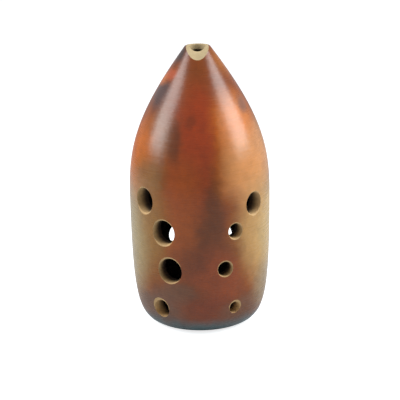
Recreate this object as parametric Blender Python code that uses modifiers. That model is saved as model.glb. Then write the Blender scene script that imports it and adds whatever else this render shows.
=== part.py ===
"""Ten-hole pottery xun, a bullet-shaped vessel flute.

The body is made as a potter luts one up from turned clay parts: a barrel with eight finger holes and two
thumb holes, a crown, a mouth collar with the blowing edge, and a base disc. A clay coil is pressed over
the inside of the belly seam and another over the joint in the floor. Metres, +Z up. The base stands on
z = 0, the finger holes and the blowing edge face -Y, and the thumb holes face +Y.
"""

import math

import bmesh
import bpy
from mathutils import Matrix, Vector

MM = 0.001

# Outline of the body: two curves that meet upright at the belly
BODY_HEIGHT = 139.2 * MM
BELLY_RADIUS = 35.0 * MM
BELLY_HEIGHT = 66.0 * MM
MOUTH_RADIUS = 6.0 * MM
NECK_ANGLE = math.radians(36.5)
FOOT_FLAT_RADIUS = 20.0 * MM

# How far each curve holds its end's direction before it bends away
SHOULDER_REACH = 22.0 * MM
NECK_REACH = 43.0 * MM
HEEL_REACH = 54.0 * MM
FOOT_REACH = 12.7 * MM

# Clay thickness
WALL = 7.0 * MM
MOUTH_WALL = 3.0 * MM
FLOOR = 7.0 * MM

# Slip line that is left between luted parts
SLIP_GAP = 0.3 * MM

# Joint between the barrel and the crown
SEAM_HEIGHT = 82.0 * MM
SEAM_LAP = 4.0 * MM

# Joint between the crown and the mouth collar
COLLAR_HEIGHT = 17.0 * MM
COLLAR_LAP = 1.6 * MM

# Base disc, stepped so that its flange seats in the barrel's foot
DISC_RADIUS = 17.0 * MM
DISC_SPIGOT_RADIUS = 13.5 * MM
DISC_FLANGE = 3.5 * MM

# Coils inside the joints
SEAM_COIL_HEIGHT = 10.0 * MM
SEAM_COIL_THICKNESS = 3.0 * MM
FLOOR_COIL_WIDTH = 6.4 * MM
FLOOR_COIL_THICKNESS = 2.4 * MM

# Mouth: a round blow hole, and a hollow bevel that sharpens its front lip
BLOW_HOLE_DIAMETER = 8.4 * MM
LIP_ROUND = 1.2 * MM
BEVEL_ANGLE = math.radians(29.2)
BEVEL_HOLLOW_RADIUS = 14.0 * MM

# Finger holes, drilled straight at the axis: azimuth from the front (degrees, left is negative), height, diameter
FINGER_HOLES = {
    "left_1": (-50.9, 67.7 * MM, 12.5 * MM),
    "left_2": (-31.2, 53.4 * MM, 12.4 * MM),
    "left_3": (-26.3, 34.2 * MM, 12.7 * MM),
    "left_4": (-38.0, 12.8 * MM, 9.2 * MM),
    "right_1": (48.8, 65.7 * MM, 11.1 * MM),
    "right_2": (29.2, 54.0 * MM, 7.8 * MM),
    "right_3": (20.1, 35.3 * MM, 7.8 * MM),
    "right_4": (30.4, 13.8 * MM, 6.2 * MM),
}

# Thumb holes: azimuth from the back (degrees), height, diameter
THUMB_HOLES = {
    "left_thumb": (-25.0, 35.5 * MM, 11.0 * MM),
    "right_thumb": (25.0, 35.5 * MM, 11.0 * MM),
}

# Facets
TURN_STEPS = 64
DRILL_STEPS = 32
BEVEL_STEPS = 96
BISECTIONS = 60

# Looks: base colour, roughness
BURNISHED_BARREL = ((0.235, 0.098, 0.040), 0.32)
BURNISHED_CROWN = ((0.260, 0.070, 0.022), 0.30)
BARE_COLLAR = ((0.600, 0.440, 0.250), 0.75)
SMOKED_BASE = ((0.090, 0.070, 0.060), 0.45)
RAW_COIL = ((0.420, 0.230, 0.120), 0.85)


def cubic(p0, p1, p2, p3, t):
    """Point of a cubic curve at t from 0 to 1."""
    u = 1.0 - t
    return u**3 * p0 + 3.0 * u**2 * t * p1 + 3.0 * u * t**2 * p2 + t**3 * p3


def cubic_heading(p0, p1, p2, p3, t):
    """Direction of travel along a cubic curve at t."""
    u = 1.0 - t
    return (u**2 * (p1 - p0) + 2.0 * u * t * (p2 - p1) + t**2 * (p3 - p2)).normalized()


FOOT = Vector((FOOT_FLAT_RADIUS, 0.0))
BELLY = Vector((BELLY_RADIUS, BELLY_HEIGHT))
TIP = Vector((MOUTH_RADIUS, BODY_HEIGHT))
BELLY_UP = Vector((0.0, 1.0))
FOOT_OUT = Vector((1.0, 0.0))
NECK_DOWN = Vector((math.sin(NECK_ANGLE), -math.cos(NECK_ANGLE)))
LOWER_CURVE = (FOOT, FOOT + FOOT_REACH * FOOT_OUT, BELLY - HEEL_REACH * BELLY_UP, BELLY)
UPPER_CURVE = (BELLY, BELLY + SHOULDER_REACH * BELLY_UP, TIP + NECK_REACH * NECK_DOWN, TIP)


def outer(t):
    """Outside of the body as (radius, height): t runs 0 to 1 up to the belly and 1 to 2 up to the mouth."""
    return cubic(*LOWER_CURVE, t) if t < 1.0 else cubic(*UPPER_CURVE, t - 1.0)


def inward(t):
    """Unit vector square to the outside, pointing into the clay."""
    heading = cubic_heading(*LOWER_CURVE, t) if t < 1.0 else cubic_heading(*UPPER_CURVE, t - 1.0)
    return Vector((-heading.y, heading.x))


def wall_at(t):
    """Clay thickness: even up to the belly, then thinner towards the mouth."""
    return WALL + (MOUTH_WALL - WALL) * max(0.0, t - 1.0)


def inner(t):
    """Inside of the body, one wall in from the outside."""
    return outer(t) + wall_at(t) * inward(t)


def coil_side(t):
    """Where a coil lies against the inside."""
    return outer(t) + (wall_at(t) + SLIP_GAP) * inward(t)


def find(curve, axis, value, rising=True):
    """The t at which the curve's radius (axis 0) or height (axis 1) reaches a value."""
    low, high = (0.0, 2.0) if rising else (1.0, 2.0)
    for _ in range(BISECTIONS):
        middle = 0.5 * (low + high)
        if (curve(middle)[axis] < value) == rising:
            low = middle
        else:
            high = middle
    return 0.5 * (low + high)


def stretch(curve, t_start, t_end, count):
    """Evenly stepped points of a curve from one t to another."""
    return [tuple(curve(t_start + (t_end - t_start) * k / (count - 1))) for k in range(count)]


def between(curve, z_start, z_end, count):
    """Points of a curve from one height to another."""
    return stretch(curve, find(curve, 1, z_start), find(curve, 1, z_end), count)


def lap_radius(height):
    """Middle of the wall at a height, where a lap joint steps."""
    return 0.5 * (outer(find(outer, 1, height)).x + inner(find(inner, 1, height)).x)


COLLAR_SEAM = BODY_HEIGHT - COLLAR_HEIGHT
BLOW_RADIUS = 0.5 * BLOW_HOLE_DIAMETER
SEAM_LAP_RADIUS = lap_radius(SEAM_HEIGHT)
COLLAR_LAP_RADIUS = lap_radius(COLLAR_SEAM)


def collection(name):
    made = bpy.data.collections.new(name)
    bpy.context.scene.collection.children.link(made)
    return made


def material(name, look):
    colour, roughness = look
    made = bpy.data.materials.new(name)
    made.use_nodes = True
    made.diffuse_color = (*colour, 1.0)
    shader = made.node_tree.nodes["Principled BSDF"]
    shader.inputs["Base Color"].default_value = (*colour, 1.0)
    shader.inputs["Roughness"].default_value = roughness
    shader.inputs["Metallic"].default_value = 0.0
    return made


def turned(name, section, seat, closed, look, home, body):
    """Turns a section of (radius, height) points about the axis; its origin is on the axis at seat."""
    count = len(section)
    edges = [(k, k + 1) for k in range(count - 1)]
    if closed:
        edges.append((count - 1, 0))
    mesh = bpy.data.meshes.new(name)
    mesh.from_pydata([(radius, 0.0, height - seat) for radius, height in section], edges, [])
    piece = bpy.data.objects.new(name, mesh)
    piece.location.z = seat
    piece.parent = body
    home.objects.link(piece)
    mesh.materials.append(material(name, look))
    screw = piece.modifiers.new("Turn", "SCREW")
    screw.steps = TURN_STEPS
    screw.render_steps = TURN_STEPS
    screw.use_smooth_shade = True
    screw.use_merge_vertices = True
    screw.merge_threshold = 0.00001
    return piece


def cutter(name, radius, length, steps, place, home, body):
    """A round bar along its own Z, for a Boolean."""
    mesh = bpy.data.meshes.new(name)
    shape = bmesh.new()
    bmesh.ops.create_cone(shape, cap_ends=True, segments=steps, radius1=radius, radius2=radius, depth=length)
    shape.to_mesh(mesh)
    shape.free()
    bar = bpy.data.objects.new(name, mesh)
    bar.matrix_world = place
    bar.parent = body
    bar.hide_render = True
    bar.display_type = "WIRE"
    home.objects.link(bar)
    return bar


def cut(piece, tool):
    boolean = piece.modifiers.new(tool.name, "BOOLEAN")
    boolean.operation = "DIFFERENCE"
    boolean.solver = "EXACT"
    boolean.object = tool


def barrel_section():
    lap_floor = SEAM_HEIGHT - SEAM_LAP
    lap = SEAM_LAP_RADIUS + 0.5 * SLIP_GAP
    seat = DISC_RADIUS + SLIP_GAP
    throat = DISC_SPIGOT_RADIUS + SLIP_GAP
    flange_top = DISC_FLANGE + SLIP_GAP
    outside = stretch(outer, find(outer, 1, SEAM_HEIGHT), 0.0, 16)
    inside = between(inner, FLOOR + SLIP_GAP, lap_floor, 11)
    foot = [(seat, 0.0), (seat, flange_top), (throat, flange_top), (throat, FLOOR), (inside[0][0], FLOOR)]
    return outside + foot + inside + [(lap, lap_floor), (lap, SEAM_HEIGHT)]


def crown_section():
    spigot_end = SEAM_HEIGHT - SEAM_LAP + SLIP_GAP
    lap = SEAM_LAP_RADIUS - 0.5 * SLIP_GAP
    collar_floor = COLLAR_SEAM - COLLAR_LAP
    collar_lap = COLLAR_LAP_RADIUS + 0.5 * SLIP_GAP
    outside = between(outer, COLLAR_SEAM, SEAM_HEIGHT + SLIP_GAP, 12)
    inside = between(inner, spigot_end, collar_floor, 9)
    spigot = [(lap, SEAM_HEIGHT + SLIP_GAP), (lap, spigot_end)]
    return outside + spigot + inside + [(collar_lap, collar_floor), (collar_lap, COLLAR_SEAM)]


def lip_round():
    """Rounded edge between the mouth's flat top and the neck, from the flat outwards."""
    half_corner = 0.5 * (0.5 * math.pi + NECK_ANGLE)
    tangent = LIP_ROUND / math.tan(half_corner)
    centre = Vector((MOUTH_RADIUS - tangent, BODY_HEIGHT - LIP_ROUND))
    swing = 0.5 * math.pi - NECK_ANGLE
    steps = 4
    angles = [0.5 * math.pi - swing * k / steps for k in range(steps + 1)]
    return [(centre.x + LIP_ROUND * math.cos(a), centre.y + LIP_ROUND * math.sin(a)) for a in angles]


def collar_section():
    spigot_end = COLLAR_SEAM - COLLAR_LAP + SLIP_GAP
    lap = COLLAR_LAP_RADIUS - 0.5 * SLIP_GAP
    lip = lip_round()
    outside = between(outer, lip[-1][1], COLLAR_SEAM + SLIP_GAP, 8)[1:]
    spigot = [(lap, COLLAR_SEAM + SLIP_GAP), (lap, spigot_end)]
    bore_start = find(inner, 0, BLOW_RADIUS, rising=False)
    inside = stretch(inner, find(inner, 1, spigot_end), bore_start, 7)
    return lip + outside + spigot + inside + [(BLOW_RADIUS, BODY_HEIGHT)]


def disc_section():
    return [
        (0.0, FLOOR),
        (DISC_SPIGOT_RADIUS, FLOOR),
        (DISC_SPIGOT_RADIUS, DISC_FLANGE),
        (DISC_RADIUS, DISC_FLANGE),
        (DISC_RADIUS, 0.0),
        (0.0, 0.0),
    ]


def seam_coil_section():
    """A coil smeared over the seam: it lies on the wall, and bulges into the chamber."""
    low = SEAM_HEIGHT - 0.5 * SEAM_COIL_HEIGHT
    high = SEAM_HEIGHT + 0.5 * SEAM_COIL_HEIGHT
    wall_side = between(coil_side, high, low, 4)
    steps = 6
    bulge = []
    for k in range(1, steps):
        share = k / steps
        base = coil_side(find(coil_side, 1, low + (high - low) * share))
        bulge.append((base.x - SEAM_COIL_THICKNESS * math.sin(math.pi * share) ** 0.5, base.y))
    return wall_side + bulge


def floor_coil_section():
    """A half-round coil on the floor, over the joint between the disc and the barrel."""
    middle = DISC_SPIGOT_RADIUS + 0.5 * SLIP_GAP
    bottom = FLOOR + SLIP_GAP
    steps = 8
    angles = [math.pi * (1.0 - k / steps) for k in range(steps + 1)]
    arch = [(middle + 0.5 * FLOOR_COIL_WIDTH * math.cos(a), bottom + FLOOR_COIL_THICKNESS * math.sin(a)) for a in angles]
    return arch


def drill_place(azimuth, height, facing):
    """Stands a bar on a line through the axis: facing is 0 for the front and pi for the back."""
    turn = math.radians(azimuth) if facing == 0.0 else facing - math.radians(azimuth)
    direction = Vector((math.sin(turn), -math.cos(turn), 0.0))
    mid_wall = BELLY_RADIUS - 0.5 * WALL
    return Matrix.Translation(direction * mid_wall + Vector((0.0, 0.0, height))) @ direction.to_track_quat("Z", "Y").to_matrix().to_4x4()


def drill_holes(barrel, holes, facing, home, body):
    for name, (azimuth, height, diameter) in holes.items():
        bar = cutter(name, 0.5 * diameter, 4.0 * WALL, DRILL_STEPS, drill_place(azimuth, height, facing), home, body)
        cut(barrel, bar)


def bevel_lip(collar, home, body):
    """Hollows the front of the mouth down to the blow hole's edge."""
    upright = Vector((0.0, -math.sin(BEVEL_ANGLE), math.cos(BEVEL_ANGLE)))
    downhill = Vector((0.0, -math.cos(BEVEL_ANGLE), -math.sin(BEVEL_ANGLE)))
    centre = Vector((0.0, 0.0, BODY_HEIGHT)) + BEVEL_HOLLOW_RADIUS * upright
    place = Matrix.Translation(centre) @ downhill.to_track_quat("Z", "Y").to_matrix().to_4x4()
    bar = cutter("lip_gouge", BEVEL_HOLLOW_RADIUS, 4.0 * BEVEL_HOLLOW_RADIUS, BEVEL_STEPS, place, home, body)
    cut(collar, bar)


def build():
    for old in list(bpy.data.objects):
        bpy.data.objects.remove(old)
    parts = collection("xun")
    cutters = collection("xun_cutters")
    body = bpy.data.objects.new("xun_axis", None)
    parts.objects.link(body)

    barrel = turned("barrel_shell", barrel_section(), 0.0, True, BURNISHED_BARREL, parts, body)
    drill_holes(barrel, FINGER_HOLES, 0.0, cutters, body)
    drill_holes(barrel, THUMB_HOLES, math.pi, cutters, body)

    turned("crown_shell", crown_section(), SEAM_HEIGHT, True, BURNISHED_CROWN, parts, body)

    collar = turned("mouth_collar", collar_section(), COLLAR_SEAM, True, BARE_COLLAR, parts, body)
    bevel_lip(collar, cutters, body)

    turned("base_disc", disc_section(), 0.0, False, SMOKED_BASE, parts, body)
    turned("seam_coil", seam_coil_section(), SEAM_HEIGHT, True, RAW_COIL, parts, body)
    turned("floor_coil", floor_coil_section(), FLOOR, True, RAW_COIL, parts, body)


build()
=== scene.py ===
# %% [markdown]
# # A burnished pottery xun
# This lesson dresses a ten-hole xun, a vessel flute of smoke-fired clay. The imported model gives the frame:
# every size below is in metres, +Z is up, and the finger holes face -Y. The heights and radii that both need
# are read from it, so that the shells made here close on the same seams.

# %% Load the frame
import math

import bpy
from mathutils import Matrix, Vector


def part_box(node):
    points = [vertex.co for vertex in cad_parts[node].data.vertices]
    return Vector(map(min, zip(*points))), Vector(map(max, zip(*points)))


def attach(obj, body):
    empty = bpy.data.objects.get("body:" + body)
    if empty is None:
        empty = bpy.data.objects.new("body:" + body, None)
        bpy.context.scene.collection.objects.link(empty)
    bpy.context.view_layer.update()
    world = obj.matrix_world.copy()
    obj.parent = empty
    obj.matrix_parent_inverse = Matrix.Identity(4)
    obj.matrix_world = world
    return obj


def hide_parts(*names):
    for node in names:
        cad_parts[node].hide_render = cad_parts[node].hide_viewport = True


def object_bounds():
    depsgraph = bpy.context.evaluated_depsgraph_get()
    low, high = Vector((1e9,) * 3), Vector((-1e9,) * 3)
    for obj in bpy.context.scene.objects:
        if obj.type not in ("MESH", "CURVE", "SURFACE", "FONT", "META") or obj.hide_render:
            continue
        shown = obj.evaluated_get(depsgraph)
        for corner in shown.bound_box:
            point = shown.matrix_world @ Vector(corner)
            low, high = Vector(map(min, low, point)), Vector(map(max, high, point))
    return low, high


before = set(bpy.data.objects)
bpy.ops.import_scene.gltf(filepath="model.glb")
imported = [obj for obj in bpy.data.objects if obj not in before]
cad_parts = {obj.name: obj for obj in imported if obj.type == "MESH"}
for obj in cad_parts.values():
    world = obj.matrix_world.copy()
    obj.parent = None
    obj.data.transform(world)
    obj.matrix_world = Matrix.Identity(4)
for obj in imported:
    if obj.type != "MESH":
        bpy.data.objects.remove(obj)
CAD_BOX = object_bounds()
MM = 0.001

# %% [markdown]
# The camera looks a little down on the flute from the front, through a long lens, and leans by one degree,
# because the flute in the photograph does. It comes first, so that every later step can be looked at.

# %% Set the camera
EYE = Vector((0.00005, -0.6239, 0.2433))
AIM = Vector((0.00005, 0.0, 0.0610))
LENS = 116.6
SENSOR = 36.0
ROLL = math.radians(-0.95)

camera_data = bpy.data.cameras.new("camera")
camera_data.lens = LENS
camera_data.sensor_width = SENSOR
camera = bpy.data.objects.new("camera", camera_data)
bpy.context.scene.collection.objects.link(camera)
looking = (AIM - EYE).to_track_quat("-Z", "Y").to_matrix().to_4x4()
camera.matrix_world = Matrix.Translation(EYE) @ looking @ Matrix.Rotation(ROLL, 4, "Z")
bpy.context.scene.camera = camera
print("camera", round((AIM - EYE).length, 3), "m from its aim")

# %% [markdown]
# On the real flute the outline is one soft swelling, thrown or built up by hand. It could be traced as a row of
# points, but two smooth curves that meet upright at the belly hold the same shape with a few sizes that have a
# meaning. The foot curve swells out of the flat base, and the crown curve closes into the straight-sided neck.
# The clay is thick below and thin above.

# %% Draw the outline
HIGH = CAD_BOX[1]
BODY_HEIGHT = HIGH.z
BELLY_RADIUS = HIGH.x
BELLY_HEIGHT = 66.0 * MM
MOUTH_RADIUS = 6.0 * MM
NECK_ANGLE = math.radians(36.5)
FOOT_FLAT_RADIUS = 20.0 * MM
FOOT_REACH = 12.7 * MM
HEEL_REACH = 54.0 * MM
SHOULDER_REACH = 22.0 * MM
NECK_REACH = 43.0 * MM
WALL = 7.0 * MM
MOUTH_WALL = 3.0 * MM
SLIP_GAP = 0.3 * MM
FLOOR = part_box("base_disc")[1].z
BARREL_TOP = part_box("barrel_shell")[1].z
COLLAR_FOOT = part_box("crown_shell")[1].z
DISC_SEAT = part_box("base_disc")[1].x + SLIP_GAP

FOOT = Vector((FOOT_FLAT_RADIUS, 0.0))
BELLY = Vector((BELLY_RADIUS, BELLY_HEIGHT))
TIP = Vector((MOUTH_RADIUS, BODY_HEIGHT))
LOWER = (FOOT, FOOT + Vector((FOOT_REACH, 0.0)), BELLY - Vector((0.0, HEEL_REACH)), BELLY)
NECK_DOWN = Vector((math.sin(NECK_ANGLE), -math.cos(NECK_ANGLE)))
UPPER = (BELLY, BELLY + Vector((0.0, SHOULDER_REACH)), TIP + NECK_REACH * NECK_DOWN, TIP)
HALVINGS = 50


def on_curve(curve, t):
    """Point and inward direction at t of a cubic curve of (radius, height)."""
    p0, p1, p2, p3 = curve
    u = 1.0 - t
    point = u**3 * p0 + 3 * u * u * t * p1 + 3 * u * t * t * p2 + t**3 * p3
    heading = (u * u * (p1 - p0) + 2 * u * t * (p2 - p1) + t * t * (p3 - p2)).normalized()
    return point, Vector((-heading.y, heading.x))


def outside(t):
    """Outside of the body: t runs from 0 at the foot past 1 at the belly to 2 at the mouth."""
    return on_curve(LOWER, t)[0] if t < 1.0 else on_curve(UPPER, t - 1.0)[0]


def inside(t):
    """Inside of the body, one clay thickness in."""
    point, inward = on_curve(LOWER, t) if t < 1.0 else on_curve(UPPER, t - 1.0)
    return point + (WALL + (MOUTH_WALL - WALL) * max(0.0, t - 1.0)) * inward


def at_height(curve, height):
    """The t where a curve reaches a height."""
    low, high = 0.0, 2.0
    for _ in range(HALVINGS):
        middle = 0.5 * (low + high)
        low, high = (middle, high) if curve(middle).y < height else (low, middle)
    return low


def run(curve, start, end, count):
    """Evenly stepped points of a curve between two heights."""
    first, last = at_height(curve, start), at_height(curve, end)
    return [tuple(curve(first + (last - first) * k / (count - 1))) for k in range(count)]


def radius_at(height):
    return outside(at_height(outside, height)).x


print("belly", round(radius_at(BELLY_HEIGHT) / MM, 1), "mm")
print("neck seam", round(radius_at(COLLAR_FOOT) / MM, 1), "mm")

# %% [markdown]
# The barrel and the crown are the two big shells of clay, luted together inside the wall with a lap. A shell
# could be spun from a drawn section. Here a ring is extruded along the section and scaled at each step until it
# meets itself, because that leaves clean, even rings, and each wall and lap is exactly where it was asked for.
# The rings are close together, so that the burnished skin mirrors smoothly.

# %% Turn the shells
SEGMENTS = 224
FUSE = 0.004 * MM
INNER_SLOT = 2


def clear_selection():
    if bpy.context.object and bpy.context.object.mode != "OBJECT":
        bpy.ops.object.mode_set(mode="OBJECT")
    bpy.ops.object.select_all(action="DESELECT")


def turn_shell(name, section):
    """Extrudes a ring along a closed section of (radius, height) points."""
    clear_selection()
    radius, height = section[0]
    bpy.ops.mesh.primitive_circle_add(vertices=SEGMENTS, radius=radius, location=(0.0, 0.0, height))
    shell = bpy.context.object
    shell.name = name
    bpy.ops.object.transform_apply(location=True, rotation=True, scale=True)
    bpy.ops.object.mode_set(mode="EDIT")
    bpy.ops.mesh.select_all(action="SELECT")
    for (r0, z0), (r1, z1) in zip(section, section[1:] + section[:1]):
        bpy.ops.mesh.extrude_region_move(TRANSFORM_OT_translate={"value": (0.0, 0.0, z1 - z0)})
        bpy.ops.transform.resize(value=(r1 / r0, r1 / r0, 1.0), center_override=(0.0, 0.0, z1))
    bpy.ops.mesh.select_all(action="SELECT")
    bpy.ops.mesh.remove_doubles(threshold=FUSE)
    bpy.ops.mesh.normals_make_consistent(inside=False)
    bpy.ops.object.mode_set(mode="OBJECT")
    return shell


def middle_of_wall(height):
    return 0.5 * (radius_at(height) + inside(at_height(inside, height)).x)


SEAM_LAP = 4.0 * MM
COLLAR_LAP = 1.6 * MM
EASE = 0.1 * MM

lap = middle_of_wall(BARREL_TOP)
barrel_section = run(outside, BARREL_TOP, 0.0, count=90)
barrel_section += [(DISC_SEAT, 0.0), (DISC_SEAT, FLOOR)]
barrel_section += run(inside, FLOOR + SLIP_GAP, BARREL_TOP - SEAM_LAP, count=30)
barrel_section += [(lap, BARREL_TOP - SEAM_LAP), (lap, BARREL_TOP)]
barrel = turn_shell("burnished_barrel", barrel_section)

collar_lap = middle_of_wall(COLLAR_FOOT)
crown_section = run(outside, COLLAR_FOOT, BARREL_TOP, count=46)
crown_section += [(lap - EASE, BARREL_TOP), (lap - EASE, BARREL_TOP - SEAM_LAP + EASE)]
crown_section += run(inside, BARREL_TOP - SEAM_LAP + EASE, COLLAR_FOOT - COLLAR_LAP, count=24)
crown_section += [(collar_lap, COLLAR_FOOT - COLLAR_LAP), (collar_lap, COLLAR_FOOT)]
crown = turn_shell("burnished_crown", crown_section)
print("barrel", len(barrel.data.polygons), "crown", len(crown.data.polygons), "faces")

# %% [markdown]
# The mouth collar is the small ring of clay that the player's lip rests on. It has a flat top with a rounded
# edge, and a round bore that opens into the chamber. It is extruded from a ring too, with its own section, so
# that the rounded edge, the bore and the lap are one closed wall.

# %% Turn the mouth collar
BLOW_RADIUS = 4.2 * MM
LIP_ROUND = 1.1 * MM
LIP_STEPS = 8
BORE_EDGE = 0.25 * MM


def lip():
    """Rounded edge from the flat top over to the neck."""
    tangent = LIP_ROUND / math.tan(0.25 * math.pi + 0.5 * NECK_ANGLE)
    swing = 0.5 * math.pi - NECK_ANGLE
    angles = [0.5 * math.pi - swing * k / LIP_STEPS for k in range(LIP_STEPS + 1)]
    centre = Vector((MOUTH_RADIUS - tangent, BODY_HEIGHT - LIP_ROUND))
    return [(centre.x + LIP_ROUND * math.cos(a), centre.y + LIP_ROUND * math.sin(a)) for a in angles]


def bore_end():
    """Height at which the inside is as narrow as the blow hole."""
    low, high = 1.5, 2.0
    for _ in range(HALVINGS):
        middle = 0.5 * (low + high)
        low, high = (middle, high) if inside(middle).x > BLOW_RADIUS else (low, middle)
    return inside(low).y


collar_bottom = COLLAR_FOOT - COLLAR_LAP + EASE
collar_section = lip() + run(outside, lip()[-1][1], COLLAR_FOOT, count=26)[1:]
collar_section += [(collar_lap - EASE, COLLAR_FOOT), (collar_lap - EASE, collar_bottom)]
collar_section += run(inside, collar_bottom, bore_end(), count=14)
collar_section += [(BLOW_RADIUS, BODY_HEIGHT - BORE_EDGE), (BLOW_RADIUS + BORE_EDGE, BODY_HEIGHT)]
collar = turn_shell("mouth_collar_clay", collar_section)
print("blow hole", round(2 * BLOW_RADIUS / MM, 1), "mm, bore ends at", round(bore_end() / MM, 1), "mm")

# %% [markdown]
# The holes are drilled level while the clay is leather hard, and their edges are wiped with a wet finger.
# Faces could be deleted and bridged, but a Boolean with the shape of the tool gives the curved rim that a
# round hole has on a swelling wall. So each drill is a bar with a flared collar that wipes the edge. The
# faces that it leaves keep its material number, which gives the cut walls their bare clay. The table has each
# hole's angle round the body from the front in degrees, then its height and its width in millimetres.

# %% Drill the finger and thumb holes
BARE_SLOT = 1
FINISHES = 3
DRILL_SIDES = 72
WIPED = 0.55 * MM
WIPE_CURVE = ((0.45, 0.16), (0.35, 0.34), (0.2, 0.5))

HOLES = {
    "left_1": (-50.9, 67.7, 12.3),
    "left_2": (-31.2, 53.4, 12.2),
    "left_3": (-26.3, 34.2, 12.5),
    "left_4": (-38.0, 12.8, 9.0),
    "right_1": (48.8, 65.7, 10.9),
    "right_2": (29.2, 54.0, 7.5),
    "right_3": (20.1, 35.3, 7.5),
    "right_4": (30.4, 13.8, 5.9),
    "left_thumb": (205.0, 35.5, 11.0),
    "right_thumb": (155.0, 35.5, 11.0),
}


def number_faces(piece, number):
    for _ in range(FINISHES - len(piece.data.materials)):
        piece.data.materials.append(None)
    for face in piece.data.polygons:
        face.material_index = number


def number_inside(shell):
    """The faces that look at the axis belong to the dark inside."""
    number_faces(shell, 0)
    for face in shell.data.polygons:
        if face.normal.x * face.center.x + face.normal.y * face.center.y < 0.0:
            face.material_index = INNER_SLOT


def cut(piece, tool):
    clear_selection()
    bpy.context.view_layer.objects.active = piece
    boolean = piece.modifiers.new("cut", "BOOLEAN")
    boolean.object = tool
    boolean.operation = "DIFFERENCE"
    boolean.solver = "EXACT"
    boolean.material_mode = "INDEX"
    bpy.ops.object.modifier_apply(modifier="cut")
    bpy.data.objects.remove(tool)


def drill(azimuth, height, diameter):
    """A bar along the hole, whose collar wipes the edge at the skin."""
    clear_selection()
    turn = math.radians(azimuth)
    direction = Vector((math.sin(turn), -math.cos(turn), 0.0))
    skin = radius_at(height)
    bpy.ops.mesh.primitive_circle_add(vertices=DRILL_SIDES, radius=0.5 * diameter, fill_type="NGON")
    bar = bpy.context.object
    bpy.ops.object.mode_set(mode="EDIT")
    bpy.ops.mesh.select_all(action="SELECT")
    sag = 0.5 * diameter**2 / (8.0 * skin)
    reach = 2.0 * WALL - sag
    flare = [(rise * WIPED, widen * WIPED) for rise, widen in WIPE_CURVE]
    depth = 0.0
    radius = 0.5 * diameter
    for rise, widen in [(reach - WIPED, 0.0)] + flare + [(WALL, WALL)]:
        bpy.ops.mesh.extrude_region_move(TRANSFORM_OT_translate={"value": (0.0, 0.0, rise)})
        depth += rise
        grow = (radius + widen) / radius
        radius += widen
        bpy.ops.transform.resize(value=(grow, grow, 1.0), center_override=(0.0, 0.0, depth))
    bpy.ops.mesh.select_all(action="SELECT")
    bpy.ops.mesh.normals_make_consistent(inside=False)
    bpy.ops.object.mode_set(mode="OBJECT")
    start = direction * (skin - 2.0 * WALL) + Vector((0.0, 0.0, height))
    bar.matrix_world = Matrix.Translation(start) @ direction.to_track_quat("Z", "Y").to_matrix().to_4x4()
    number_faces(bar, BARE_SLOT)
    return bar


for shell in (barrel, crown, collar):
    number_inside(shell)
for hole, (azimuth, height, diameter) in HOLES.items():
    cut(barrel, drill(azimuth, height * MM, diameter * MM))
print("drilled", len(HOLES), "holes; barrel now", len(barrel.data.polygons), "faces")

# %% [markdown]
# The front of the mouth is pared down to the blow hole's edge with a round gouge, which leaves a slightly
# hollow bevel. That bevel is the blowing edge, against which the breath splits. A plain bisect would leave it
# flat, so a wide cylinder, laid along the slope, takes the clay away as the gouge did.

# %% Pare the blowing edge
BEVEL_ANGLE = math.radians(29.2)
GOUGE_RADIUS = 14.0 * MM
GOUGE_LENGTH = 4.0 * GOUGE_RADIUS
GOUGE_SIDES = 360
LIP_DEPTH = 0.4 * MM
LIP_EDGE = 0.5 * MM

clear_selection()
bpy.ops.mesh.primitive_cylinder_add(vertices=GOUGE_SIDES, radius=GOUGE_RADIUS, depth=GOUGE_LENGTH)
gouge = bpy.context.object
upright = Vector((0.0, -math.sin(BEVEL_ANGLE), math.cos(BEVEL_ANGLE)))
downhill = Vector((0.0, -math.cos(BEVEL_ANGLE), -math.sin(BEVEL_ANGLE)))
gouge_centre = Vector((0.0, 0.0, BODY_HEIGHT)) + GOUGE_RADIUS * upright
gouge.matrix_world = Matrix.Translation(gouge_centre) @ downhill.to_track_quat("Z", "Y").to_matrix().to_4x4()
number_faces(gouge, BARE_SLOT)
cut(collar, gouge)
for face in collar.data.polygons:
    across = math.hypot(face.center.x, face.center.y)
    on_top = face.center.z > BODY_HEIGHT - LIP_DEPTH and across < MOUTH_RADIUS - LIP_EDGE
    in_bore = across < BLOW_RADIUS + EASE
    if on_top or in_bore:
        face.material_index = BARE_SLOT
print("collar", len(collar.data.polygons), "faces")

# %% [markdown]
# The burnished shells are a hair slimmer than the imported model, so that they stay inside it. Then the skin is
# shaded smooth, while every edge that turns more sharply, such as a lap or the blowing edge, stays crisp.

# %% Ease and smooth the shells
GIRTH = 0.9985
CRISP_ANGLE = math.radians(32.0)

for shell in (barrel, crown, collar):
    clear_selection()
    shell.select_set(True)
    bpy.context.view_layer.objects.active = shell
    bpy.ops.object.mode_set(mode="EDIT")
    bpy.ops.mesh.select_all(action="SELECT")
    bpy.ops.transform.resize(value=(GIRTH, GIRTH, 1.0), center_override=(0.0, 0.0, 0.0))
    bpy.ops.object.mode_set(mode="OBJECT")
    bpy.ops.object.shade_smooth_by_angle(angle=CRISP_ANGLE)
print("barrel size", [round(side / MM, 1) for side in barrel.dimensions], "mm")

# %% [markdown]
# Two effects come back in several finishes, so each is built once as a shader group. The first is one cloud of
# smoke or flame, a soft-edged blob at a place on the skin. The second is the grain of the clay. A picture of a
# real pot could be laid on instead, but a rule in space needs no unwrapping and goes on round the back.

# %% Shader groups
CLOUD_CORE = 0.25
CLOUD_EDGE = 1.45
FINE_GRAIN = 1400.0
BROAD_GRAIN = 260.0
GRAIN_MEAN = 0.72
GRAIN_SHADE = 0.5


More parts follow.
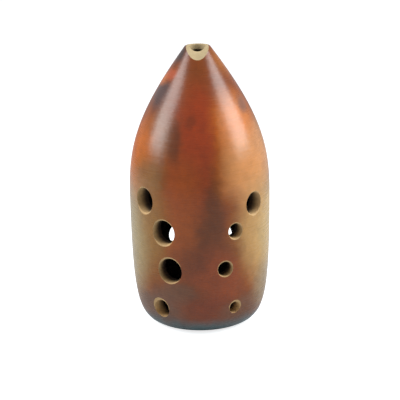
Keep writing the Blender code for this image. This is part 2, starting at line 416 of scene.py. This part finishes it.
def tint(red, green, blue):
    """A colour as a painter would read it, from 0 to 255, in scene units."""
    share = [channel / 255.0 for channel in (red, green, blue)]
    return tuple(c / 12.92 if c <= 0.04045 else ((c + 0.055) / 1.055) ** 2.4 for c in share) + (1.0,)


def new_group(name, inputs, outputs):
    group = bpy.data.node_groups.new(name, "ShaderNodeTree")
    for label, kind, value in inputs:
        socket = group.interface.new_socket(name=label, in_out="INPUT", socket_type=kind)
        if value is not None:
            socket.default_value = value
    for label, kind in outputs:
        group.interface.new_socket(name=label, in_out="OUTPUT", socket_type=kind)
    return group, group.nodes.new("NodeGroupInput"), group.nodes.new("NodeGroupOutput")


def feed(tree, sockets, values):
    """Links or sets each value in turn."""
    for socket, value in zip(sockets, values):
        if isinstance(value, (int, float, tuple)):
            socket.default_value = value
        else:
            tree.links.new(value, socket)


def math_node(tree, operation, *values, clamp=False):
    node = tree.nodes.new("ShaderNodeMath")
    node.operation = operation
    node.use_clamp = clamp
    feed(tree, node.inputs, values)
    return node.outputs[0]


def vector_node(tree, operation, *values):
    node = tree.nodes.new("ShaderNodeVectorMath")
    node.operation = operation
    feed(tree, node.inputs, values)
    return node.outputs["Value" if operation == "LENGTH" else "Vector"]


def remap(tree, value, start, end, low=0.0, high=1.0, easing="LINEAR"):
    """Takes start to low and end to high."""
    node = tree.nodes.new("ShaderNodeMapRange")
    node.interpolation_type = easing
    node.inputs["From Min"].default_value = start
    node.inputs["From Max"].default_value = end
    node.inputs["To Min"].default_value = low
    node.inputs["To Max"].default_value = high
    tree.links.new(value, node.inputs["Value"])
    return node.outputs["Result"]


def noise_node(tree, position, scale, detail, roughness):
    node = tree.nodes.new("ShaderNodeTexNoise")
    tree.links.new(position, node.inputs["Vector"])
    node.inputs["Scale"].default_value = scale
    node.inputs["Detail"].default_value = detail
    node.inputs["Roughness"].default_value = roughness
    return node


def cloud_group():
    group, start, end = new_group(
        "smoke cloud",
        [
            ("Position", "NodeSocketVector", None),
            ("Centre", "NodeSocketVector", None),
            ("Reach", "NodeSocketVector", (0.01, 0.01, 0.01)),
            ("Strength", "NodeSocketFloat", 1.0),
        ],
        [("Mask", "NodeSocketFloat")],
    )
    offset = vector_node(group, "SUBTRACT", start.outputs["Position"], start.outputs["Centre"])
    scaled = vector_node(group, "DIVIDE", offset, start.outputs["Reach"])
    distance = vector_node(group, "LENGTH", scaled)
    fade = remap(group, distance, CLOUD_EDGE, CLOUD_CORE, easing="SMOOTHERSTEP")
    mask = math_node(group, "MULTIPLY", fade, start.outputs["Strength"])
    group.links.new(mask, end.inputs["Mask"])
    return group


def grain_group():
    group, start, end = new_group(
        "clay grain",
        [("Position", "NodeSocketVector", None), ("Amount", "NodeSocketFloat", 1.0)],
        [("Height", "NodeSocketFloat"), ("Shade", "NodeSocketFloat")],
    )
    fine = noise_node(group, start.outputs["Position"], FINE_GRAIN, 3.0, 0.6)
    broad = noise_node(group, start.outputs["Position"], BROAD_GRAIN, 4.0, 0.6)
    soft = math_node(group, "MULTIPLY", fine.outputs["Fac"], 0.45)
    both = math_node(group, "ADD", soft, broad.outputs["Fac"])
    centred = math_node(group, "SUBTRACT", both, GRAIN_MEAN)
    group.links.new(math_node(group, "MULTIPLY", centred, start.outputs["Amount"]), end.inputs["Height"])
    group.links.new(math_node(group, "MULTIPLY_ADD", centred, GRAIN_SHADE, 1.0), end.inputs["Shade"])
    return group


CLOUD = cloud_group()
GRAIN = grain_group()
print("groups", CLOUD.name, "and", GRAIN.name)

# %% [markdown]
# The firing left its marks by flame and smoke, where fuel touched the pot and where air reached it. A few
# marks are partly painted light: painted highlight where the soft boxes mirror on the crown, and painted
# reflection along the lower edges of both sides. Each one is placed by its angle round the body from the front
# in degrees, its height in millimetres, and how far it spreads sideways and upwards, and has a colour and a
# strength. It is painted over those before it. Below them the foot is painted darker, as painted shade.

# %% Name the firing marks and the painted light
GROUND = tint(122, 66, 38)
MARKS = {
    "red column": (0, 104, 11, 34, tint(146, 56, 24), 0.95),
    "red belly": (-3, 80, 14, 18, tint(140, 58, 28), 0.8),
    "orange breast": (-13, 69, 11, 22, tint(148, 74, 34), 0.9),
    "brown shade right of centre": (11, 68, 5, 18, tint(94, 52, 26), 0.8),
    "brown shade low centre": (6, 52, 8, 15, tint(98, 52, 24), 0.75),
    "smudge left of centre": (-23, 99, 4, 15, tint(90, 48, 28), 0.75),
    "small smudge": (-8, 107, 3, 5, tint(100, 46, 24), 0.6),
    # Partly painted highlight: this brownish grey also carries the lower tail of the left soft box's pale band.
    "brownish grey with painted highlight left": (-42, 99, 8, 22, tint(126, 92, 70), 0.7),
    "flame edge left": (-70, 88, 14, 22, tint(182, 108, 66), 0.85),
    "smoke on the left neck": (-66, 117, 7, 10, tint(66, 56, 58), 0.85),
    "pink flash": (-60, 127, 4, 3.5, tint(196, 112, 92), 0.5),
    "orange flash": (-78, 124, 4, 5, tint(204, 126, 84), 0.6),
    "smoke by the mouth left": (-75, 136, 5, 6, tint(54, 46, 46), 0.9),
    # Partly painted highlight: this light peach also carries the lower tail of the right soft box's pale band.
    "peach with painted highlight right": (43, 104, 13, 18, tint(206, 138, 98), 0.9),
    "tan shoulder right": (46, 83, 17, 18, tint(200, 146, 106), 0.95),
    "amber edge right": (78, 92, 12, 16, tint(194, 148, 114), 0.8),
    "smoke spot right": (62, 113, 4, 5, tint(112, 86, 78), 0.7),
    "brown edge by the mouth right": (70, 132, 6, 9, tint(160, 104, 66), 0.7),
    "gold flank right": (54, 52, 15, 27, tint(178, 142, 98), 0.95),
    # Partly painted reflection: a pale gold along the lower right edge, where the white room mirrors in the
    # clay.
    "gold edge with painted reflection right": (80, 46, 14, 32, tint(180, 156, 112), 0.8),
    "umber between the right holes": (24, 45, 8, 9, tint(110, 62, 32), 0.7),
    "shade above the first left hole": (-48, 80, 10, 10, tint(118, 88, 60), 0.8),
    "olive flank left": (-45, 52, 13, 26, tint(134, 100, 60), 0.9),
    # Partly painted reflection: a pale olive along the lower left edge, where the white room mirrors in the
    # clay.
    "olive edge with painted reflection left": (-76, 44, 14, 34, tint(152, 138, 104), 0.85),
    "rust between the left holes": (-14, 51, 8, 15, tint(148, 80, 44), 0.85),
    "red lower front": (11, 30, 14, 18, tint(134, 66, 36), 0.9),
    "umber lower front": (-8, 41, 9, 9, tint(98, 58, 42), 0.6),
    "grey band low left": (-18, 23, 14, 6, tint(98, 72, 56), 0.75),
    "red foot": (6, 15, 16, 9, tint(120, 60, 40), 0.7),
    "plum smoke low left": (-46, 13, 17, 10, tint(98, 78, 66), 0.85),
    "plum smoke low right": (44, 12, 17, 8, tint(104, 76, 60), 0.8),
    # Partly painted reflection: a pale grey low on the right edge, where the white room mirrors in the clay.
    "pale grey with painted reflection low right": (74, 22, 12, 14, tint(142, 124, 98), 0.8),
    "smoke cloud behind": (178, 66, 24, 26, tint(82, 58, 44), 0.85),
    "flame behind left": (-130, 88, 20, 22, tint(190, 104, 56), 0.85),
    "flame behind right": (132, 56, 18, 26, tint(176, 118, 66), 0.85),
    "red crown behind": (165, 108, 18, 16, tint(140, 60, 30), 0.85),
    "smoke low behind": (-150, 24, 24, 14, tint(92, 74, 66), 0.85),
    "ash behind": (110, 100, 12, 12, tint(140, 112, 90), 0.7),
}
# Painted shade: below the marks the foot turns a dark bluish grey that fades out upwards, where the underside
# curves in, in shadow.
FOOT_PAINTED_SHADE = tint(72, 90, 92)


def on_skin(azimuth, height):
    turn = math.radians(azimuth)
    radius = radius_at(height * MM)
    return (radius * math.sin(turn), -radius * math.cos(turn), height * MM)


print(len(MARKS), "marks over the ground colour")

# %% [markdown]
# The burnished skin has no glaze. Rubbing with a smooth stone closes the surface, so it shines softly, with
# faint tool strokes around the body and a grain that only shows close up. The places are stirred by noise
# before the marks are laid on, so that their edges are ragged as smoke's are. The strokes are noise that is
# squeezed upwards, and they change the roughness and the bump rather than the colour, as rubbing does.

# %% The burnished skin
STIRS = ((60.0, 8.0 * MM), (240.0, 1.8 * MM))
DEEPER = 1.3
FOOT_SHADE_TOP = 10.5 * MM
FOOT_SHADE_FULL = 2.0 * MM
DAPPLE = 150.0
RICHNESS = 1.16
STROKES = 60.0
STROKE_SQUEEZE = 9.0
RUBBED = 0.22
DULL = 0.33


def new_material(name):
    made = bpy.data.materials.new(name)
    made.use_nodes = True
    tree = made.node_tree
    coordinates = tree.nodes.new("ShaderNodeTexCoord")
    return made, tree, tree.nodes["Principled BSDF"], coordinates.outputs["Object"]


def blend_colour(tree, mask, below, above):
    node = tree.nodes.new("ShaderNodeMix")
    node.data_type = "RGBA"
    tree.links.new(mask, node.inputs["Factor"])
    feed(tree, (node.inputs[6], node.inputs[7]), (below, above))
    return node.outputs[2]


def stirred(tree, position, scale, amount):
    """A position pushed about by noise."""
    noise = noise_node(tree, position, scale, 3.0, 0.55)
    pushed = vector_node(tree, "MULTIPLY_ADD", noise.outputs["Color"], (amount,) * 3, position)
    return vector_node(tree, "SUBTRACT", pushed, (0.5 * amount,) * 3)


def grain(tree, position):
    node = tree.nodes.new("ShaderNodeGroup")
    node.node_tree = GRAIN
    tree.links.new(position, node.inputs["Position"])
    return node


def shade_by(tree, colour, value):
    """Multiplies a colour by a value that varies over the surface."""
    node = tree.nodes.new("ShaderNodeVectorMath")
    node.operation = "SCALE"
    feed(tree, (node.inputs[0], node.inputs["Scale"]), (colour, value))
    return node.outputs[0]


def bump(tree, shader, height, strength, distance):
    node = tree.nodes.new("ShaderNodeBump")
    node.inputs["Strength"].default_value = strength
    node.inputs["Distance"].default_value = distance
    tree.links.new(height, node.inputs["Height"])
    tree.links.new(node.outputs[0], shader.inputs["Normal"])


def burnished_skin():
    made, tree, shader, position = new_material("burnished smoke-fired clay")
    stir = position
    for scale, amount in STIRS:
        stir = stirred(tree, stir, scale, amount)
    colour = GROUND
    for mark, (azimuth, height, wide, tall, paint, strength) in MARKS.items():
        cloud = tree.nodes.new("ShaderNodeGroup")
        cloud.node_tree = CLOUD
        cloud.label = mark
        tree.links.new(stir, cloud.inputs["Position"])
        cloud.inputs["Centre"].default_value = on_skin(azimuth, height)
        cloud.inputs["Reach"].default_value = (wide * MM, DEEPER * wide * MM, tall * MM)
        cloud.inputs["Strength"].default_value = strength
        colour = blend_colour(tree, cloud.outputs["Mask"], colour, paint)
    split = tree.nodes.new("ShaderNodeSeparateXYZ")
    tree.links.new(stir, split.inputs[0])
    # Painted shade: the foot darkens to a bluish grey towards the floor, where the underside curves away in
    # shadow.
    foot = remap(tree, split.outputs["Z"], FOOT_SHADE_TOP, FOOT_SHADE_FULL, easing="SMOOTHSTEP")
    colour = blend_colour(tree, foot, colour, FOOT_PAINTED_SHADE)
    dapple = noise_node(tree, position, DAPPLE, 5.0, 0.65)
    colour = shade_by(tree, colour, remap(tree, dapple.outputs["Fac"], 0.3, 0.7, 0.93, 1.07))
    texture = grain(tree, position)
    colour = shade_by(tree, colour, texture.outputs["Shade"])
    rich = tree.nodes.new("ShaderNodeHueSaturation")
    rich.inputs["Saturation"].default_value = RICHNESS
    tree.links.new(colour, rich.inputs["Color"])
    tree.links.new(rich.outputs["Color"], shader.inputs["Base Color"])
    strokes = tree.nodes.new("ShaderNodeMapping")
    strokes.inputs["Scale"].default_value = (1.0, 1.0, STROKE_SQUEEZE)
    tree.links.new(position, strokes.inputs["Vector"])
    stroke = noise_node(tree, strokes.outputs[0], STROKES, 3.0, 0.5)
    rough = remap(tree, stroke.outputs["Fac"], 0.0, 1.0, RUBBED, DULL)
    tree.links.new(rough, shader.inputs["Roughness"])
    height = math_node(tree, "ADD", texture.outputs["Height"], stroke.outputs["Fac"])
    bump(tree, shader, height, 0.12, 0.4 * MM)
    return made


SKIN = burnished_skin()
print("skin painted with", len(MARKS), "marks")

# %% [markdown]
# Cut clay is matt and pale, with a little grit. The inside was never burnished, and it is given a dark brown
# clay colour. A hole's wall is pale clay at the wiped rim, and painted shade darkens it to brown towards the
# chamber, so its colour follows the distance from the flute's axis, with an allowance for the narrower foot.

# %% Bare clay, dark inside, painted shade in the holes and raw coils
HEEL_TOP = 30.0 * MM
HEEL_TAPER = 0.25
PAINTED_SHADE_RADIUS = 29.0 * MM
PALE_RADIUS = 34.2 * MM


def plain_clay(name, low, high, roughness, amount):
    """Unburnished clay between two tones."""
    made, tree, shader, position = new_material(name)
    tone = noise_node(tree, position, 420.0, 5.0, 0.6)
    colour = blend_colour(tree, tone.outputs["Fac"], low, high)
    texture = grain(tree, position)
    colour = shade_by(tree, colour, texture.outputs["Shade"])
    tree.links.new(colour, shader.inputs["Base Color"])
    shader.inputs["Roughness"].default_value = roughness
    bump(tree, shader, texture.outputs["Height"], amount, 0.5 * MM)
    return made


def bored_clay_with_painted_shade():
    """Clay inside the holes: pale at the wiped rim, with painted shade darkening it to brown towards the
    chamber.
    """
    made, tree, shader, position = new_material("bored clay with painted shade")
    flat = vector_node(tree, "MULTIPLY", stirred(tree, position, 300.0, 1.5 * MM), (1.0, 1.0, 0.0))
    radius = vector_node(tree, "LENGTH", flat)
    split = tree.nodes.new("ShaderNodeSeparateXYZ")
    tree.links.new(position, split.inputs[0])
    low = math_node(tree, "SUBTRACT", HEEL_TOP, split.outputs["Z"], clamp=True)
    reach = math_node(tree, "ADD", radius, math_node(tree, "MULTIPLY", low, HEEL_TAPER))
    # Painted shade: the hole's wall is painted darker the deeper it reaches into the bore, towards the chamber.
    depth = remap(tree, reach, PAINTED_SHADE_RADIUS, PALE_RADIUS, easing="SMOOTHSTEP")
    colour = blend_colour(tree, depth, tint(50, 35, 23), tint(196, 162, 114))
    texture = grain(tree, position)
    colour = shade_by(tree, colour, texture.outputs["Shade"])
    tree.links.new(colour, shader.inputs["Base Color"])
    shader.inputs["Roughness"].default_value = 0.8
    bump(tree, shader, texture.outputs["Height"], 0.35, 0.5 * MM)
    return made


BORED_WITH_PAINTED_SHADE = bored_clay_with_painted_shade()
BARE = plain_clay("bare cut clay", tint(166, 144, 106), tint(204, 186, 146), 0.8, 0.35)
DARK_INSIDE = plain_clay("dark inside clay", tint(36, 26, 20), tint(58, 42, 30), 0.85, 0.4)
COIL = plain_clay("raw clay coil", tint(84, 58, 40), tint(112, 78, 52), 0.85, 0.5)
BASE = plain_clay("smoked base clay", tint(52, 48, 48), tint(92, 74, 62), 0.5, 0.3)

for shell, cut_finish in ((barrel, BORED_WITH_PAINTED_SHADE), (crown, BARE), (collar, BARE)):
    for number, finish in enumerate((SKIN, cut_finish, DARK_INSIDE)):
        shell.data.materials[number] = finish
for node, finish in (("base_disc", BASE), ("seam_coil", COIL), ("floor_coil", COIL)):
    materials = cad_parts[node].data.materials
    if not materials:
        materials.append(finish)
    for number in range(len(materials)):
        materials[number] = finish
print("clays", BARE.name, BORED_WITH_PAINTED_SHADE.name, DARK_INSIDE.name, COIL.name, BASE.name, sep=", ")

# %% [markdown]
# The flute stands on a white sheet between two tall soft boxes, which draw the two pale bands down its
# crown. The white room fills in. The eye sees it at full strength, and the burnished clay mirrors about half
# of it, which pales the edges without washing out the colour. The floor keeps a faint shadow.

# %% Light and floor
BOX_AIM = Vector((0.0, 0.0, 0.09))
BOX_TALL = 0.44
GLOSS = 0.55
FILL = 0.40
FLOOR_WIDTH = 6.0
FLOOR_DROP = 0.2 * MM
PAPER_GLOW = 0.76


def soft_box(name, place, wide, watts):
    data = bpy.data.lights.new(name, "AREA")
    data.shape = "RECTANGLE"
    data.size = wide
    data.size_y = BOX_TALL
    data.energy = watts
    lamp = bpy.data.objects.new(name, data)
    lamp.location = place
    lamp.rotation_euler = (BOX_AIM - Vector(place)).to_track_quat("-Z", "Y").to_euler()
    bpy.context.scene.collection.objects.link(lamp)


soft_box("left soft box", (-0.48, -0.06, 0.38), 0.30, 2.9)
soft_box("right soft box", (0.48, -0.06, 0.38), 0.32, 3.3)

world = bpy.data.worlds.new("white room")
world.use_nodes = True
bpy.context.scene.world = world
room = world.node_tree
background = room.nodes["Background"]
background.inputs["Color"].default_value = (1.0, 1.0, 1.0, 1.0)
path = room.nodes.new("ShaderNodeLightPath")
seen = math_node(room, "MAXIMUM", path.outputs["Is Camera Ray"], path.outputs["Is Transmission Ray"])
mirrored = math_node(room, "MULTIPLY", path.outputs["Is Glossy Ray"], GLOSS)
seen = math_node(room, "MAXIMUM", seen, mirrored)
room.links.new(math_node(room, "MAXIMUM", seen, FILL), background.inputs["Strength"])

clear_selection()
bpy.ops.mesh.primitive_plane_add(size=FLOOR_WIDTH, location=(0.0, 0.0, -FLOOR_DROP))
floor = bpy.context.object
floor.name = "white_floor"
paper = bpy.data.materials.new("white paper")
paper.use_nodes = True
sheet = paper.node_tree
white = sheet.nodes["Principled BSDF"]
white.inputs["Base Color"].default_value = (0.62, 0.66, 0.70, 1.0)
white.inputs["Roughness"].default_value = 0.9
white.inputs["Emission Color"].default_value = (1.0, 1.0, 1.0, 1.0)
sheet_path = sheet.nodes.new("ShaderNodeLightPath")
glow = math_node(sheet, "MULTIPLY", sheet_path.outputs["Is Camera Ray"], PAPER_GLOW)
sheet.links.new(glow, white.inputs["Emission Strength"])
floor.data.materials.append(paper)

bpy.context.scene.view_settings.view_transform = "Standard"
print("fill", FILL, "mirrored room", GLOSS)

# %% [markdown]
# Last, each piece rides on the flute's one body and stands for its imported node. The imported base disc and
# the two coils inside keep their own meshes, with clay finishes.

# %% Hand over
PIECES = (
    (barrel, "barrel_shell", "burnished_barrel"),
    (crown, "crown_shell", "burnished_crown"),
    (collar, "mouth_collar", "bare_clay"),
)
for piece, node, slot_name in PIECES:
    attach(piece, "root")
    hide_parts(node)
